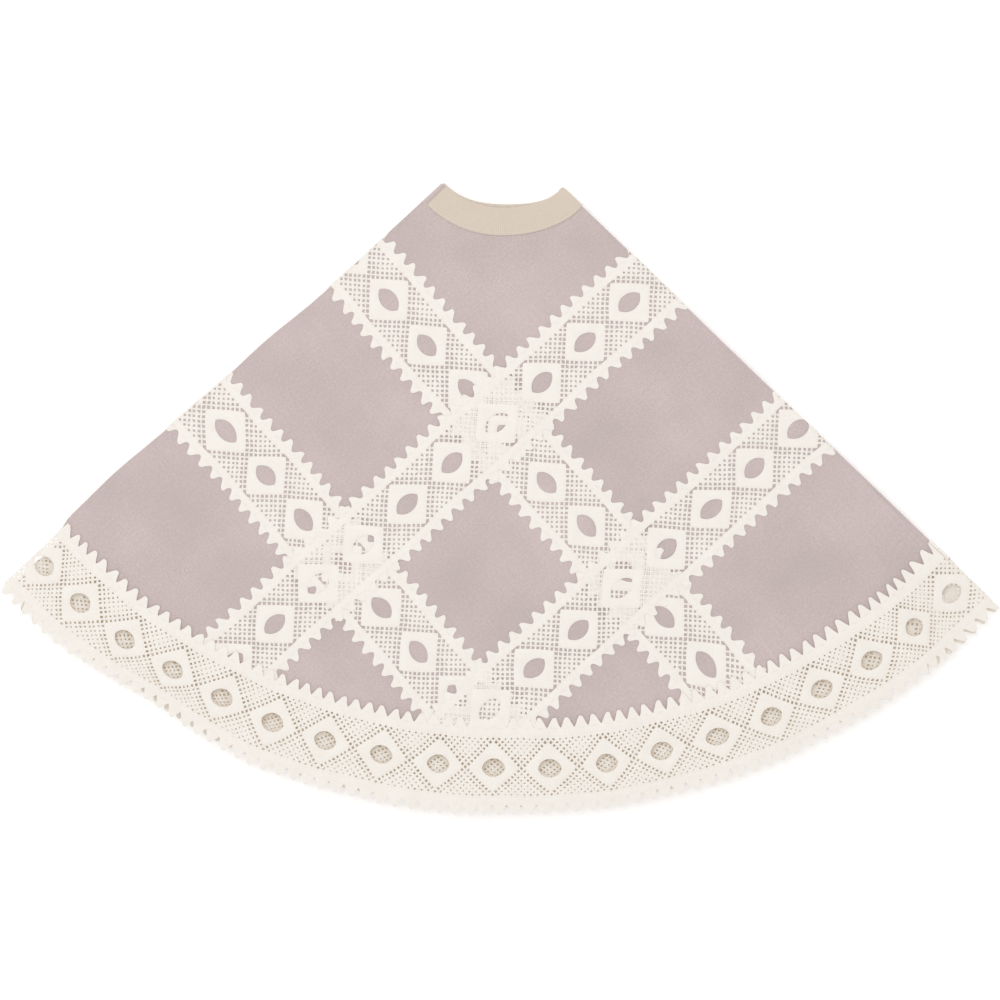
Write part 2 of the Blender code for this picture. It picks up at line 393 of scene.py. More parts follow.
def net_knot(patch, i, j, step, edge, weight):
    """One knot of the net with its four half threads, which have a raised ridge like twisted cord."""
    thread = thread_at(i, j, weight)
    pitch = step * math.sqrt(2)
    centre = Vector(((i + j) * step, (i - j) * step, 0.0))
    slip = Vector((chance(i, j, 1.0) - 0.5, chance(i, j, 2.0) - 0.5, 0.0)) * KNOT_SLIP
    points = [centre + slip + Vector((0, 0, RELIEF * 1.2))]
    arms = []
    for di, dj in ((1, 0), (0, -1), (-1, 0), (0, 1)):
        along = Vector(((di + dj), (di - dj), 0.0)).normalized()
        diamond = in_a_diamond(i + di, j + dj)
        if diamond is not None:
            far = abs((i if di else j) - NET_STEPS * diamond) - DIAMOND
            length = (far + 0.25) * pitch
        elif abs(centre.y + (di - dj) * step) > edge:
            length = min(pitch, (edge + NET_LAP - abs(centre.y)) * math.sqrt(2))
        else:
            length = pitch / 2
        arms.append((along, length, (thread + thread_at(i + di, j + dj, weight)) / 2))
    for k, (along, _, _) in enumerate(arms):
        points.append(centre + slip + (along + arms[k - 3][0]) * thread / 2)
    faces = []
    for k, (along, length, width) in enumerate(arms):
        left = Vector((-along.y, along.x, 0.0)) * width / 2
        end = centre + along * length
        first = len(points)
        points += [end - left, end + Vector((0, 0, RELIEF)), end + left]
        before, after = 1 + (k - 1) % 4, 1 + k
        right_corner, left_corner = before, after
        if (points[before] - centre).dot(left) >= 0:
            right_corner, left_corner = after, before
        faces.append((0, right_corner, first, first + 1))
        faces.append((0, first + 1, first + 2, left_corner))
    patch.add(points, faces)


def diamond_frame(patch, reach, hole_length, hole_width):
    """The solid diamond round its eyelet, which is two arcs that meet in points."""
    arc = (hole_length**2 + hole_width**2) / (4 * hole_width)
    drop = arc - hole_width / 2
    count = 48
    rings = []
    for share, height in ((0.0, 0.0), (0.14, 1.0), (0.55, 1.25), (0.88, 1.0), (1.0, 0.0)):
        ring = []
        for k in range(count):
            angle = 2 * math.pi * k / count
            c, s = abs(math.cos(angle)), abs(math.sin(angle))
            inner = -drop * s + math.sqrt(arc**2 - (drop * c) ** 2)
            outer = reach / (c**DIAMOND_BOW + s**DIAMOND_BOW) ** (1 / DIAMOND_BOW)
            radius = inner + (outer - inner) * share
            ring.append(Vector((radius * math.cos(angle), radius * math.sin(angle), height * RELIEF)))
        rings.append(ring)
    faces = []
    for row in range(len(rings) - 1):
        for k in range(count):
            following = (k + 1) % count
            here, there = row * count, (row + 1) * count
            faces.append((here + k, there + k, there + following, here + following))
    patch.add([point for ring in rings for point in ring], faces)


def header(patch, length, inner, outer, side):
    """The solid edge that carries the picots."""
    columns = 12
    points, faces = [], []
    for k in range(columns + 1):
        x = -length / 2 + length * k / columns
        for share, height in ((0.0, 0.0), (0.5, 1.4), (1.0, 0.3)):
            points.append(Vector((x, side * (inner + (outer - inner) * share), height * RELIEF)))
    for k in range(columns):
        for row in (0, 1):
            a, b = 3 * k + row, 3 * (k + 1) + row
            faces.append((a, b, b + 1, a + 1) if side > 0 else (a, a + 1, b + 1, b))
    patch.add(points, faces)


def picot(patch, x, base, length, pitch, lean, fullness):
    """One blunt picot with a raised middle, its tip off to one side by lean."""
    side = math.copysign(1, pitch)
    points, faces = [], []
    for rise, half in PICOT_OUTLINE:
        y, middle = side * (base + length * rise), x + lean * rise**2
        spread = min(0.5, half * fullness) * abs(pitch)
        points.append(Vector((middle - spread, y, 0)))
        points.append(Vector((middle, y, RELIEF * 1.3)))
        points.append(Vector((middle + spread, y, 0)))
    points.append(Vector((x + lean, side * (base + length), 0.0)))
    tip = len(points) - 1
    for row in range(len(PICOT_OUTLINE) - 1):
        a, b = 3 * row, 3 * row + 3
        faces += [(a, a + 1, b + 1, b), (a + 1, a + 2, b + 2, b + 1)]
    faces += [(tip - 3, tip - 2, tip), (tip - 2, tip - 1, tip)]
    if side < 0:
        faces = [tuple(reversed(face)) for face in faces]
    patch.add(points, faces)


def lace_repeat(name, length, width, hole, net_rows, picot_length, weight, fullness):
    """One repeat of the lace, centred on its diamond, x along the lace and y across."""
    patch = Patch()
    step = length / (2 * NET_STEPS)
    inner = net_rows * step + NET_MARGIN
    base = width / 2 - picot_length
    span = range(-3 * NET_STEPS, 3 * NET_STEPS + 1)
    for i in span:
        for j in span:
            x, y = (i + j) * step, (i - j) * step
            if -length / 2 <= x < length / 2 - 1e-9 and abs(y) <= inner and in_a_diamond(i, j) is None:
                net_knot(patch, i, j, step, inner, weight)
    diamond_frame(patch, DIAMOND * step * 2, *hole)
    pitch = length / PICOTS_PER_REPEAT
    for side in (-1, 1):
        header(patch, length, inner, base + HEADER_LAP, side)
        for k in range(PICOTS_PER_REPEAT):
            lean = PICOT_LEAN * (chance(k, side, 3.0) - 0.5)
            long = picot_length * (0.9 + 0.1 * chance(k, side, 4.0))
            picot(patch, -length / 2 + (k + 0.5) * pitch, base, long, pitch * side, lean, fullness)
    mesh = bpy.data.meshes.new(name)
    mesh.from_pydata([tuple(p) for p in patch.points], [], patch.faces)
    return mesh


def repeat_tree():
    """Geometry nodes that set a repeat out in a row and weld its threads."""
    tree = bpy.data.node_groups.new("lace_row", "GeometryNodeTree")
    sockets = {
        "Repeat": "NodeSocketGeometry",
        "Count": "NodeSocketInt",
        "First": "NodeSocketVector",
        "Step": "NodeSocketVector",
        "Material": "NodeSocketMaterial",
    }
    for name, kind in sockets.items():
        tree.interface.new_socket(name, in_out="INPUT", socket_type=kind)
    tree.interface.new_socket("Row", in_out="OUTPUT", socket_type="NodeSocketGeometry")
    given = add_node(tree, "NodeGroupInput").outputs
    spots = {"Count": given["Count"], "Start Location": given["First"], "Offset": given["Step"]}
    line = add_node(tree, "GeometryNodeMeshLine", spots)
    copies = {"Points": line.outputs["Mesh"], "Instance": given["Repeat"]}
    rows = add_node(tree, "GeometryNodeInstanceOnPoints", copies)
    real = add_node(tree, "GeometryNodeRealizeInstances", {"Geometry": rows.outputs["Instances"]})
    joined = {"Geometry": real.outputs["Geometry"], "Distance": 2e-5}
    weld = add_node(tree, "GeometryNodeMergeByDistance", joined)
    dressed = {"Geometry": weld.outputs["Geometry"], "Material": given["Material"]}
    dress = add_node(tree, "GeometryNodeSetMaterial", dressed)
    add_node(tree, "NodeGroupOutput", {"Row": dress.outputs["Geometry"]})
    return tree


lace_row = repeat_tree()


def set_out(repeat, count, first, step, material):
    """A plain mesh of a repeat set out in a row along x, with its flat places in the UV map."""
    carrier = bpy.data.objects.new("carrier", repeat)
    bpy.context.scene.collection.objects.link(carrier)
    modifier = carrier.modifiers.new("row", "NODES")
    modifier.node_group = lace_row
    values = {"Count": count, "First": (first, 0.0, 0.0), "Step": (step, 0.0, 0.0), "Material": material}
    for socket in lace_row.interface.items_tree:
        if socket.in_out == "INPUT" and socket.name in values:
            modifier[socket.identifier] = values[socket.name]
    bpy.context.view_layer.update()
    depsgraph = bpy.context.evaluated_depsgraph_get()
    mesh = bpy.data.meshes.new_from_object(carrier.evaluated_get(depsgraph))
    bpy.data.objects.remove(carrier)
    keep_cloth_places(mesh)
    return mesh


WAVE_SCALE = 0.314  # scale of a wave texture whose bands are 1 apart


def noise(tree, places, scale, detail):
    """Noise from places in millimetres."""
    inputs = {"Vector": places, "Scale": scale, "Detail": detail}
    return add_node(tree, "ShaderNodeTexNoise", inputs).outputs["Fac"]


def add_sockets(tree, first, second):
    """The sum of two sockets."""
    return add_node(tree, "ShaderNodeMath", {0: first, 1: second}, operation="ADD").outputs[0]


def stretched(tree, places, factors):
    """Places multiplied axis by axis."""
    inputs = {0: places, 1: factors}
    return add_node(tree, "ShaderNodeVectorMath", inputs, operation="MULTIPLY").outputs[0]


def raise_surface(tree, surface, height, strength, distance):
    """Let a height show as relief."""
    inputs = {"Height": height, "Strength": strength, "Distance": distance}
    bump = add_node(tree, "ShaderNodeBump", inputs)
    tree.links.new(bump.outputs["Normal"], surface.inputs["Normal"])


def thread_height(tree, places, pitch, angle):
    """Fine over-and-under threads as a height, from places in millimetres."""
    mapping = {"Vector": places, "Rotation": (0.0, 0.0, angle)}
    turned = add_node(tree, "ShaderNodeMapping", mapping).outputs[0]
    threads = {"Vector": turned, "Scale": WAVE_SCALE / pitch, "Distortion": 0.6, "Detail": 1.0}
    over, across = (
        add_node(tree, "ShaderNodeTexWave", threads, bands_direction=direction).outputs["Fac"]
        for direction in ("X", "Y")
    )
    return add_sockets(tree, over, across)


def places_in_mm(tree):
    """The piece's flat places, in millimetres."""
    flat = add_node(tree, "ShaderNodeUVMap", uv_map="cloth").outputs["UV"]
    return stretched(tree, flat, (1000.0, 1000.0, 1000.0))


def mix_colours(tree, factor, first, second):
    """A colour between two, each a hex code or a socket."""
    mixer = add_node(tree, "ShaderNodeMix", {"Factor": factor}, data_type="RGBA")
    for key, value in (("A", first), ("B", second)):
        if isinstance(value, str):
            mixer.inputs[key].default_value = linear(value)
        else:
            tree.links.new(value, mixer.inputs[key])
    return mixer.outputs["Result"]


PAINTED_BOUNCE_GLOW = 0.13  # painted glow: emission that stands in for light coming through the cotton from the threads round it


def lace_material(name, light, shade):
    """Ivory cotton thread: matt, uneven in tone, with fine stitches darkened by painted shade where they
    lie low, and a painted warm glow that stands in for light bounced through the cotton.
    """
    material, tree, surface = new_material(name, 0.9, sheen=0.15)
    places = places_in_mm(tree)
    stitches = thread_height(tree, places, 1.15, math.pi / 4)
    fuzz = noise(tree, places, 1.6, 3.0)
    tone = mix_colours(tree, noise(tree, places, 0.06, 2.0), light, shade)
    # painted shade: the lace is darkened towards #D3C8B8 in the low parts of the stitch pattern
    shade_depths = {"Value": stitches, "From Min": 0.0, "From Max": 0.9, "To Min": 0.3, "To Max": 0.0}
    painted_hollow_shade = add_node(tree, "ShaderNodeMapRange", shade_depths).outputs[0]
    tone = mix_colours(tree, painted_hollow_shade, tone, "#D3C8B8")
    tree.links.new(tone, surface.inputs["Base Color"])
    # painted light: the lace glows warm, in place of light bounced between the layers of cotton
    surface.inputs["Emission Color"].default_value = linear("#E8C9A0")
    surface.inputs["Emission Strength"].default_value = PAINTED_BOUNCE_GLOW
    raise_surface(tree, surface, add_sockets(tree, stitches, fuzz), 0.6, 0.0002)
    return material


ivory = lace_material("ivory_cotton_lace", "#E7E6E3", "#DFDCD8")

BAND_WIDTH = 0.078
BAND_REPEAT = 0.0525
band_repeat = lace_repeat(
    "band_repeat",
    BAND_REPEAT,
    BAND_WIDTH,
    hole=(0.0238, 0.0150),
    net_rows=8,
    picot_length=0.0080,
    weight=THREAD,
    fullness=1.0,
)

HEM_WIDTH = 0.088
HEM_MIDDLE = HEM_RADIUS - HEM_WIDTH / 2
HEM_PITCH = math.radians(5.11)
HEM_PHASE = math.radians(0.5)
hem_repeat = lace_repeat(
    "hem_repeat",
    HEM_PITCH * HEM_MIDDLE,
    HEM_WIDTH,
    hole=(0.0205, 0.0165),
    net_rows=9,
    picot_length=0.0098,
    weight=HEM_THREAD,
    fullness=1.22,
)

# Each band's offset, the place of a diamond along it and how far it is stretched
LOWER_BANDS = {"inner": (0.1742, 0.0433, 1.020), "outer": (0.3600, 0.0330, 0.986)}
UPPER_BANDS = {"inner": (0.1904, 0.0186, 1.017), "outer": (0.3752, 0.0373, 1.008)}
LOWER_SKEW = {"top": 0.026}  # how far a lower band drifts out along its length
UPPER_SKEW = {"top": -0.007}
BAND_REPEATS = 13  # enough to run from short of an axis to past the hem
CLIMB = 0.0006
CLIMB_SLOPE = 0.009
HEM_STEP = (0.537, 0.02)  # where the hem lace comes down off the bands, and how long its slope is
TUCK = 0.536  # the bands end under the hem lace here


def signs(quarter):
    """On which sides of the two axes the quarter's middle lies."""
    middle = math.radians(sum(EDGES[quarter]) / 2)
    return math.copysign(1, math.cos(middle)), math.copysign(1, math.sin(middle))


def band_row(phase, direction):
    """A row of band repeats that runs from near an axis past the hem, on the side of this sign."""
    before = 2 if direction > 0 else 10
    first = phase - before * BAND_REPEAT
    return set_out(band_repeat, BAND_REPEATS, first, BAND_REPEAT, ivory)


def lower_band(quarter, which):
    """A lower band in the opened circle, running along y."""
    offset, phase, stretch = LOWER_BANDS[which]
    sx, sy = signs(quarter)
    skew = LOWER_SKEW.get(quarter, 0.0)
    mesh = band_row(phase / stretch, sy)

    def lie(p):
        along = p[:, 0] * stretch
        return np.column_stack([sx * offset + skew * along - p[:, 1], along, LACE_HEIGHT + p[:, 2]])

    reshape(mesh, lie)
    return mesh


def climb(points, quarter):
    """How far an upper band is lifted where it rides over the lower bands."""
    sx, _ = signs(quarter)
    skew = LOWER_SKEW.get(quarter, 0.0)
    lift = np.zeros(len(points))
    for offset, _, _ in LOWER_BANDS.values():
        away = np.abs(points[:, 0] - sx * offset - skew * points[:, 1])
        lift = np.maximum(lift, smooth((BAND_WIDTH / 2 + CLIMB_SLOPE - away) / CLIMB_SLOPE))
    return CLIMB * lift


def upper_band(quarter, which):
    """An upper band in the opened circle, running along x over the lower bands."""
    offset, phase, stretch = UPPER_BANDS[which]
    sx, sy = signs(quarter)
    skew = UPPER_SKEW.get(quarter, 0.0)
    mesh = band_row(phase / stretch, sx)

    def lie(p):
        along = p[:, 0] * stretch
        flat = np.column_stack([along, sy * offset + skew * along + p[:, 1], LACE_HEIGHT + p[:, 2]])
        flat[:, 2] += climb(flat, quarter)
        return flat

    reshape(mesh, lie)
    return mesh


EASE_SLIT = 0.0075  # towards the fold, next to the slit edge
EASE_FOLD = 0.0105  # towards the slit edge, next to the fold
EASE_MIDDLE = 0.0025


def eased(angle):
    """How far the hem lace is shifted along the hem, as it was eased in by hand."""
    ends = EASE_SLIT * np.exp(-((angle / 0.05) ** 2)) - EASE_FOLD * smooth((angle - 1.47) / 0.13)
    return ends + EASE_MIDDLE * smooth((angle - 0.09) / 0.09)


def hem_lace(quarter):
    """The hem lace of one quarter, worked round, its inner edge lying over the band ends."""
    start, end = (math.radians(edge) for edge in EDGES[quarter])
    first = math.floor((start - HEM_PHASE) / HEM_PITCH)
    last = math.ceil((end - HEM_PHASE) / HEM_PITCH)
    length = HEM_PITCH * HEM_MIDDLE
    zero = HEM_PHASE * HEM_MIDDLE
    mesh = set_out(hem_repeat, last - first + 1, zero + first * length, length, ivory)

    def lie(p):
        angle = p[:, 0] / HEM_MIDDLE
        angle = angle + eased(angle) / HEM_MIDDLE
        radius = HEM_MIDDLE - p[:, 1]
        over = 2 * CLIMB * (1 - smooth((radius - HEM_STEP[0]) / HEM_STEP[1]))
        z = LACE_HEIGHT + over + p[:, 2]
        return np.column_stack([radius * np.cos(angle), radius * np.sin(angle), z])

    reshape(mesh, lie)
    return mesh


def lace_parts(quarter):
    """Each lace piece of a quarter as (name, untrimmed mesh, reach)."""
    parts = [("hem_lace", hem_lace(quarter), None)]
    for which in ("inner", "outer"):
        parts.append((f"lower_band_{which}", lower_band(quarter, which), TUCK))
        parts.append((f"upper_band_{which}", upper_band(quarter, which), TUCK))
    return parts


SLIT_TURN = 0.0042  # how much lace turns under at the slit edge
SLIT_AXIS = 0.0008
SLIT_RADIUS = 0.0024
SLIT_SQUEEZE = 0.4


def turn_under(points):
    """Turn lace under at the slit edge of the top quarter, which is the circle's x axis."""
    flipped = points * np.array([1, -1, 1])
    return roll(flipped, 0.0, SLIT_AXIS, SLIT_RADIUS, SLIT_SQUEEZE) * np.array([1, -1, 1])


lace_pieces = {quarter: [] for quarter in EDGES}
for quarter, (start, end) in EDGES.items():
    for name, mesh, reach in lace_parts(quarter):
        past = SLIT_TURN if quarter == "top" else 0.0
        trim(mesh, start, end, past_start=past, reach=reach)
        if quarter == "top":
            reshape(mesh, turn_under)
        reshape(mesh, relax)
        piece = place(f"{quarter}_{name}_cotton", mesh, quarter, ivory)
        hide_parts(f"{quarter}_{name}")
        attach(piece, f"{quarter}_quarter")
        lace_pieces[quarter].append(piece)


def join(meshes):
    """One mesh from several."""
    bm = bmesh.new()
    for mesh in meshes:
        bm.from_mesh(mesh)
    bm.to_mesh(meshes[0])
    bm.free()
    return meshes[0]


FOLD_RADIUS = 0.0032
CREASE = 0.3  # how flat the tape is pressed where the lining is outside, as a share of a round fold


def past_fold(mesh, quarter, reach):
    """What of a flat mesh lies just past the quarter's end edge, far enough to go round the fold."""
    end = EDGES[quarter][1]
    return trim(mesh, end, end, past_end=math.pi * FOLD_RADIUS, reach=reach)


def round_the_fold(mesh, quarter, squeeze=1.0):
    """Roll a strip round the fold at the quarter's end edge."""
    axis = FACE_AXIS if quarter == "second" else 0.0
    end = math.radians(EDGES[quarter][1])
    reshape(mesh, relax)
    reshape(mesh, lambda p: roll(p, end, axis, FOLD_RADIUS, squeeze))
    return mesh


for parent, child in FOLDS:
    meshes = [past_fold(mesh, parent, reach) for _, mesh, reach in lace_parts(parent)]
    mesh = round_the_fold(join(meshes), parent)
    piece = place(f"{parent}_fold_lace", mesh, parent, ivory)
    hinge_blend(piece)
    lace_pieces[parent].append(piece)

# Face fabric, lining and slit facings -------------------------------------------------------------
# Mauve-greige plain-woven cotton with slightly uneven threads, backed by a thin off-white cotton
# lining. The two edges of the slit are finished with a narrow facing of the face fabric on the wrong
# side.

CLOTH_INNER = 0.0695
CLOTH_OUTER = 0.5315
SHELL_HEIGHT = 0.0027
SHELL_BODY = 0.0005
LINING_HEIGHT = 0.0014
LINING_BODY = 0.0002
FACING = 0.025
FACING_HEIGHT = 0.0009
FACING_INSET = 0.002  # from the neck and hem ends of the cloth


def woven_material(name, light, shade, pitch, streaks):
    """Plain weave: fine threads both ways, some a little thicker or darker than the rest."""
    material, tree, surface = new_material(name, 0.95, sheen=0.1)
    places = places_in_mm(tree)
    weave = thread_height(tree, places, pitch, 0.0)
    warp, weft = (
        noise(tree, stretched(tree, places, along), 1.0, 2.0)
        for along in ((0.025, 0.9, 1.0), (0.9, 0.025, 1.0))
    )
    slub = add_sockets(tree, warp, weft)
    heather = add_sockets(tree, noise(tree, places, 0.012, 3.0), noise(tree, places, 0.5, 3.0))
    spread = {"Value": heather, "From Min": 0.78, "From Max": 1.22}
    mottle = add_node(tree, "ShaderNodeMapRange", spread).outputs[0]
    tone = mix_colours(tree, mottle, light, shade)
    drawn = {"Value": slub, "From Min": 0.75, "From Max": 1.3, "To Min": 0.0, "To Max": streaks}
    streak = add_node(tree, "ShaderNodeMapRange", drawn).outputs[0]
    tone = mix_colours(tree, streak, tone, shade)
    tree.links.new(tone, surface.inputs["Base Color"])
    raise_surface(tree, surface, add_sockets(tree, weave, slub), 0.5, 0.00015)
    return material


face_fabric = woven_material("mauve_cotton_fabric", "#CDBDBB", "#BBADAA", 1.1, 0.5)
lining_fabric = woven_material("cotton_lining", "#EFE8DE", "#E6DDD1", 0.7, 0.5)


def sector(name, inner, outer, start, end, height, body, rows=26, columns=64):
    """A closed sheet of cloth between two radii and two angles, in degrees."""
    points, faces = [], []
    for z in (height, height - body):
        for i in range(rows + 1):
            radius = inner + (outer - inner) * i / rows
            for k in range(columns + 1):
                angle = math.radians(start + (end - start) * k / columns)
                points.append((radius * math.cos(angle), radius * math.sin(angle), z))
    layer = (rows + 1) * (columns + 1)
    for i in range(rows):
        for k in range(columns):
            a = i * (columns + 1) + k
            b = a + columns + 1
            faces.append((a, b, b + 1, a + 1))
            faces.append((layer + a, layer + a + 1, layer + b + 1, layer + b))
    rim = [i * (columns + 1) for i in range(rows + 1)]
    rim += [rows * (columns + 1) + k for k in range(1, columns + 1)]
    rim += [i * (columns + 1) + columns for i in range(rows - 1, -1, -1)]
    rim += list(range(columns - 1, 0, -1))
    for a, b in zip(rim, rim[1:] + rim[:1]):
        faces.append((b, a, layer + a, layer + b))
    return to_mesh(name, points, faces)


for quarter, (start, end) in EDGES.items():
    for layer, height, body, material, slot in (
        ("shell", SHELL_HEIGHT, SHELL_BODY, face_fabric, "face_fabric"),
        ("lining", LINING_HEIGHT, LINING_BODY, lining_fabric, "lining_fabric"),
    ):
        mesh = sector(layer, CLOTH_INNER, CLOTH_OUTER, start, end, height, body)
        reshape(mesh, relax)
        piece = place(f"{quarter}_{layer}_cotton", mesh, quarter, material)
        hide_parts(f"{quarter}_{layer}")
        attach(piece, f"{quarter}_quarter")


def strip(name, low, high, height, width):
    """A flat strip from radius low to high along y = 0 to width."""
    rows, columns = 50, 8
    points, faces = [], []
    for i in range(rows + 1):
        for k in range(columns + 1):
            points.append((low + (high - low) * i / rows, width * k / columns, height))
    for i in range(rows):
        for k in range(columns):
            a = i * (columns + 1) + k
            faces.append((a, a + columns + 1, a + columns + 2, a + 1))
    return to_mesh(name, points, faces)


def swing(degrees):
    """Turn flat points about the trunk axis."""
    c, s = math.cos(math.radians(degrees)), math.sin(math.radians(degrees))
    turn = np.array([[c, s, 0], [-s, c, 0], [0, 0, 1]])
    return lambda points: points @ turn


for parent, child in FOLDS:
    for layer, height, material, slot in (
        ("shell", SHELL_HEIGHT, face_fabric, "face_fabric"),
        ("lining", LINING_HEIGHT, lining_fabric, "lining_fabric"),
    ):
        if layer == "lining" and parent == "second":
            continue  # the lining stops at this fold, where it would lie outside the cloth
        mesh = strip(layer, CLOTH_INNER, CLOTH_OUTER, height, math.pi * FOLD_RADIUS)
        reshape(mesh, swing(EDGES[parent][1]))
        piece = place(f"{parent}_fold_{layer}", round_the_fold(mesh, parent), parent, material)
        hinge_blend(piece)

for quarter, side in (("top", 1), ("bottom", -1)):
    low, high = CLOTH_INNER + FACING_INSET, CLOTH_OUTER - FACING_INSET
    mesh = strip("facing", low, high, FACING_HEIGHT, FACING)
    reshape(mesh, lambda p, side=side: p * np.array([1, side, 1]))
    reshape(mesh, relax)
    piece = place(f"{quarter}_slit_facing_cotton", mesh, quarter, face_fabric)
    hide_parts(f"{quarter}_slit_facing")
    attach(piece, f"{quarter}_quarter")

# Neck binding -------------------------------------------------------------------------------------
# Oatmeal tape with fine cross ribs, folded over the edge of the trunk opening and top-stitched near
# its outer edge. The second quarter's binding bulges a little into the opening and shows past the top
# one.

NECK_RADIUS = 0.0677
BINDING_WIDTH = 0.025
BULGE = 0.0034
RIB_PITCH = 1.7  # millimetres
TAPE_GAP = 2.6  # degrees between the slit edge and the start of the top quarter's tape
TAPE_STEPS = 48
FOLD_STEPS = 12


def tape_material():
    """Ribbed cotton tape, the ribs running across it, with painted shade between them."""
    material, tree, surface = new_material("oatmeal_ribbed_tape", 0.9, sheen=0.1)
    places = places_in_mm(tree)
    cords = {"Vector": places, "Scale": WAVE_SCALE / RIB_PITCH, "Distortion": 0.8}
    ribs = add_node(tree, "ShaderNodeTexWave", cords, bands_direction="X").outputs["Fac"]
    fuzz = noise(tree, places, 0.9, 3.0)
    tone = mix_colours(tree, noise(tree, places, 0.05, 2.0), "#D8CCBD", "#D0C3B6")
    # painted shade: the tape is darkened towards #BDAE9C between its ribs
    shade_depths = {"Value": ribs, "To Min": 0.35, "To Max": 0.0}
    painted_groove_shade = add_node(tree, "ShaderNodeMapRange", shade_depths).outputs[0]
    tone = mix_colours(tree, painted_groove_shade, tone, "#BDAE9C")
    tree.links.new(tone, surface.inputs["Base Color"])
    raise_surface(tree, surface, add_sockets(tree, ribs, fuzz), 0.6, 0.0003)
    return material


tape = tape_material()

TAPE_PROFILE = (  # millimetres in from the opening and up from the wrong side, round the section
    (25.0, 3.05), (25.0, 3.35), (24.4, 3.55), (20.0, 3.70), (12.0, 3.78), (4.0, 3.70), (1.4, 3.45),
    (0.3, 2.7), (0.0, 1.9), (0.3, 1.1), (1.4, 0.45), (4.0, 0.25), (12.0, 0.20), (20.0, 0.25),
    (25.0, 0.45), (25.0, 0.75), (3.0, 0.90), (1.7, 1.40), (1.5, 1.9), (1.7, 2.5), (3.0, 3.0),
)


def tape_ring(angle, past=0.0, bulge=0.0):
    """The tape's section at an angle, or straight on past it, let into the opening by bulge."""
    c, s = math.cos(angle), math.sin(angle)
    ring = []
    for inward, up in TAPE_PROFILE:
        radius = NECK_RADIUS + inward * 0.001 - bulge * (1 - inward * 0.001 / BINDING_WIDTH)
        ring.append((radius * c - past * s, radius * s + past * c, up * 0.001))
    return ring


def tape_tube(rings, length):
    """A closed tube of tape from rings of the section, with its flat places in the UV map."""
    count = len(TAPE_PROFILE)
    points = [point for ring in rings for point in ring]
    faces = [list(range(count))[::-1], [len(points) - count + i for i in range(count)]]
    for row in range(len(rings) - 1):
        for k in range(count):
            following = (k + 1) % count
            here, there = row * count, (row + 1) * count
            faces.append((here + k, here + following, there + following, there + k))
    mesh = bpy.data.meshes.new("tape")
    mesh.from_pydata(points, [], faces)
    face_outward(mesh)
    uv = mesh.uv_layers.new(name="cloth")
    for loop in mesh.loops:
        row, k = divmod(loop.vertex_index, count)
        uv.data[loop.index].uv = (length * row / (len(rings) - 1), TAPE_PROFILE[k][0] * 0.001)
    return mesh


for quarter, (start, end) in EDGES.items():
    if quarter == "top":
        start += TAPE_GAP
    rings = []
    for k in range(TAPE_STEPS + 1):
        bulge = BULGE * math.sin(math.pi * k / TAPE_STEPS) ** 2 if quarter == "second" else 0.0
        angle = math.radians(start + (end - start) * k / TAPE_STEPS)
        rings.append(tape_ring(angle, bulge=bulge))
    mesh = tape_tube(rings, math.radians(end - start) * (NECK_RADIUS + BINDING_WIDTH / 2))
    reshape(mesh, relax)
    piece = place(f"{quarter}_neck_tape", mesh, quarter, tape)
    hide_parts(f"{quarter}_neck_binding")
    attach(piece, f"{quarter}_quarter")

for parent, child in FOLDS:
    end = math.radians(EDGES[parent][1])
    length = math.pi * FOLD_RADIUS
    rings = [tape_ring(end, past=length * k / FOLD_STEPS) for k in range(FOLD_STEPS + 1)]
    mesh = tape_tube(rings, length)
    mesh = round_the_fold(mesh, parent, CREASE if parent == "second" else 1.0)
    piece = place(f"{parent}_fold_tape", mesh, parent, tape)
    hinge_blend(piece)

# Top-stitching ------------------------------------------------------------------------------------
# Pale cotton thread in a row of short stitches near the outer edge of the binding. It holds both
# sides of the tape to the cloth between them.

STITCH = 0.0021
STITCH_PITCH = 0.0030
STITCH_GIRTH = 0.00028
STITCH_RISE = 0.00022
SEAM_RADIUS = NECK_RADIUS + BINDING_WIDTH - 0.0022
SEAM_HEIGHT = 0.00362
SEAM_ENDS = (0.4, 1.0)  # degrees without stitches, past the tape's gap and before the fold


def thread_material():
    """Pale, slightly shiny twisted sewing thread, with painted shade in the grooves of its turns."""
    material, tree, surface = new_material("sewing_thread", 0.6)
    places = add_node(tree, "ShaderNodeTexCoord").outputs["Object"]
    turns = {"Vector": places, "Scale": 900.0}
    # painted shade: darker spiral bands where the grooves of the thread's turns fall in shade
    painted_twist_shade = add_node(tree, "ShaderNodeTexWave", turns, bands_direction="DIAGONAL").outputs["Fac"]
    tone = mix_colours(tree, painted_twist_shade, "#EFE5D8", "#E2D5C5")
    tree.links.new(tone, surface.inputs["Base Color"])
    return material


sewing_thread = thread_material()


def one_stitch():
    """A stitch: a short arched capsule along x."""
    rows, sides = 6, 6
    points, faces = [], []
    for k in range(rows + 1):
        t = k / rows
        girth = STITCH_GIRTH * math.sqrt(max(0.12, 1 - (2 * t - 1) ** 4))
        x, rise = (t - 0.5) * STITCH, STITCH_RISE * math.sin(math.pi * t)
        for c in range(sides):
            turn = 2 * math.pi * c / sides
            points.append((x, girth * math.cos(turn), rise + girth * math.sin(turn)))
    for k in range(rows):
        for c in range(sides):
            following = (c + 1) % sides
            here, there = k * sides, (k + 1) * sides
            faces.append((here + c, here + following, there + following, there + c))
    faces.append(tuple(range(sides - 1, -1, -1)))
    faces.append(tuple(range(rows * sides, (rows + 1) * sides)))
    mesh = bpy.data.meshes.new("stitch")
    mesh.from_pydata(points, [], faces)
    return mesh


def seam(p):
    """Bend a straight row of stitches round the binding."""
    angle, radius = p[:, 0] / SEAM_RADIUS, SEAM_RADIUS + p[:, 1]
    return np.column_stack([radius * np.cos(angle), radius * np.sin(angle), SEAM_HEIGHT + p[:, 2]])


